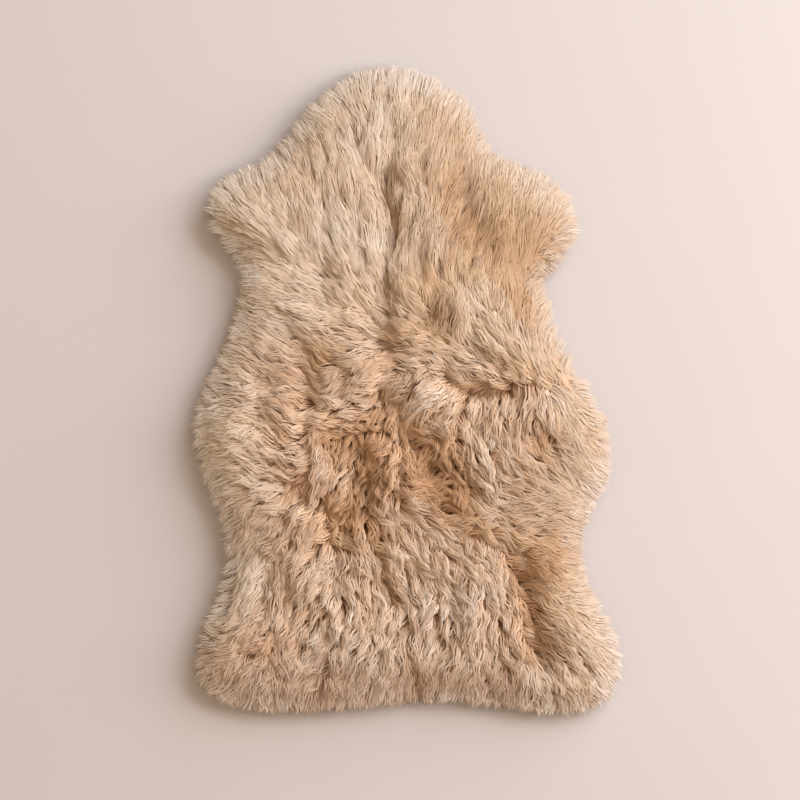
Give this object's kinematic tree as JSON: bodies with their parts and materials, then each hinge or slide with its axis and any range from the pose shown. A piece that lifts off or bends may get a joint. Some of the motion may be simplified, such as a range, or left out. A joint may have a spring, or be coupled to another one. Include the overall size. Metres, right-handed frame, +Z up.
{
  "type": "sheepskin rug",
  "caption": "One-pelt sheepskin rug lying flat, wool side up: a tanned hide under a deep lumpy fleece with pointed locks round its rim.",
  "frame": {"origin": "on the floor, under the middle of the pelt's box", "axes": "+Y from the rump to the neck, along the pelt; +X across it, to the right as seen from above with the neck ahead; +Z up out of the wool"},
  "size_m": [0.5906, 0.899, 0.0623],
  "materials": {
    "tanned_hide": "suede, cream tan",
    "wool": "combed long wool, warm beige"
  },
  "bodies": {
    "root": {"hide": "tanned_hide", "fleece": "wool"}
  },
  "joints": []
}
